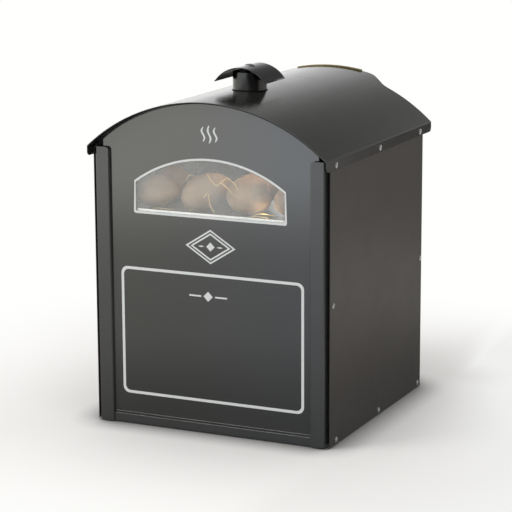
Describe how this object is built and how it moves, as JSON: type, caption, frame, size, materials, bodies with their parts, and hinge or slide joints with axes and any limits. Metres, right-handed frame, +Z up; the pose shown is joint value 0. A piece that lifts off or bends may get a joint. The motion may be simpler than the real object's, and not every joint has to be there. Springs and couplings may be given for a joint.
{
  "type": "baked potato oven",
  "caption": "Countertop oven cabinet with a vaulted roof, short flue and cowl, arched display window, three-tier oven behind a hinged door, drop-down display door and control panel.",
  "frame": {"origin": "middle of the underside of the whole object, on the surface it stands on", "axes": "+Z up, -Y towards the customer (window side), +Y towards the operator (doors and controls), +X to the right seen from the customer's side"},
  "size_m": [0.5162, 0.6192, 0.7123],
  "materials": {
    "brown_enamel": "satin brown-grey stoved enamel",
    "dark_enamel": "semi-gloss dark bronze-black stoved enamel",
    "roof_enamel": "glossy dark olive-black stoved enamel",
    "glossy_panel": "high-gloss near-black enamelled panel with fine printed border lines",
    "clear_glass": "clear heat-proof glass",
    "brass": "polished brass edge strip",
    "stainless": "polished stainless steel",
    "bright_steel": "bright sheet steel",
    "oven_steel": "heat-toned sheet steel",
    "chromed_wire": "chromed bar and wire",
    "element_sheath": "dark oxidised sheath",
    "mineral_wool": "mineral wool slab",
    "ceramic": "unglazed white ceramic",
    "potato_skin": "baked potato skin",
    "rubber": "black rubber",
    "seal_rubber": "dark silicone gasket",
    "black_plastic": "black heat-resistant moulding",
    "rocker_plastic": "glossy black rocker",
    "lens_plastic": "amber translucent lens"
  },
  "bodies": {
    "cabinet": {"base_pan": "brown_enamel", "feet": "rubber", "side_panel_right": "brown_enamel", "side_panel_left": "brown_enamel", "front_post_right": "dark_enamel", "front_post_left": "dark_enamel", "front_rail": "dark_enamel", "front_panel": "glossy_panel", "window_glass": "clear_glass", "front_bulkhead": "dark_enamel", "rear_frame": "dark_enamel", "roof": "roof_enamel", "visor_trim": "brass", "casing_screws": "stainless", "flue_pipe": "roof_enamel", "cowl": "roof_enamel", "cowl_bridge": "roof_enamel", "cowl_screw": "stainless", "display_floor": "bright_steel", "display_liner": "bright_steel", "lamp_holder": "ceramic", "lamp": "clear_glass", "display_potatoes": "potato_skin", "oven_liner_floor": "oven_steel", "oven_liner_ceiling": "oven_steel", "oven_liner_end": "oven_steel", "oven_liner_sides": "oven_steel", "insulation_bottom": "mineral_wool", "insulation_sides": "mineral_wool", "insulation_end": "mineral_wool", "insulation_top": "mineral_wool", "rack_runners": "bright_steel", "oven_racks": "chromed_wire", "element_lower": "element_sheath", "element_upper": "element_sheath", "control_housing": "oven_steel", "control_panel": "dark_enamel", "thermostat": "black_plastic", "timer": "black_plastic", "switch_housings": "black_plastic", "pilot_lenses": "lens_plastic", "cable_gland": "black_plastic", "hinge_leaves": "stainless"},
    "oven_door": {"oven_door_shell": "dark_enamel", "oven_door_liner": "oven_steel", "oven_door_insulation": "mineral_wool", "oven_door_seal": "seal_rubber", "oven_door_handle": "stainless", "oven_door_hinges": "stainless"},
    "display_door": {"display_door_frame": "dark_enamel", "display_door_glass": "clear_glass", "display_door_handle": "stainless", "display_door_hinges": "stainless"},
    "thermostat_dial": {"thermostat_spindle": "bright_steel", "thermostat_knob": "black_plastic"},
    "timer_dial": {"timer_spindle": "bright_steel", "timer_knob": "black_plastic"},
    "power_switch": {"power_rocker": "rocker_plastic"},
    "light_switch": {"light_rocker": "rocker_plastic"}
  },
  "joints": [
    {"name": "oven_door_hinge", "type": "hinge", "parent": "cabinet", "child": "oven_door", "pos_m": [-0.243, 0.2295, 0.1875], "axis": [0, 0, 1], "range_deg": [0, 110]},
    {"name": "display_door_hinge", "type": "hinge", "parent": "cabinet", "child": "display_door", "pos_m": [0, 0.2182, 0.427], "axis": [-1, 0, 0], "range_deg": [0, 90]},
    {"name": "thermostat_turn", "type": "hinge", "parent": "cabinet", "child": "thermostat_dial", "pos_m": [0.14, 0.2157, 0.3875], "axis": [0, -1, 0], "range_deg": [0, 300]},
    {"name": "timer_turn", "type": "hinge", "parent": "cabinet", "child": "timer_dial", "pos_m": [0.05, 0.2157, 0.3875], "axis": [0, -1, 0], "range_deg": [0, 330]},
    {"name": "power_rock", "type": "hinge", "parent": "cabinet", "child": "power_switch", "pos_m": [-0.03, 0.2161, 0.3875], "axis": [-1, 0, 0], "range_deg": [0, 16]},
    {"name": "light_rock", "type": "hinge", "parent": "cabinet", "child": "light_switch", "pos_m": [-0.07, 0.2161, 0.3875], "axis": [-1, 0, 0], "range_deg": [0, 16]}
  ]
}
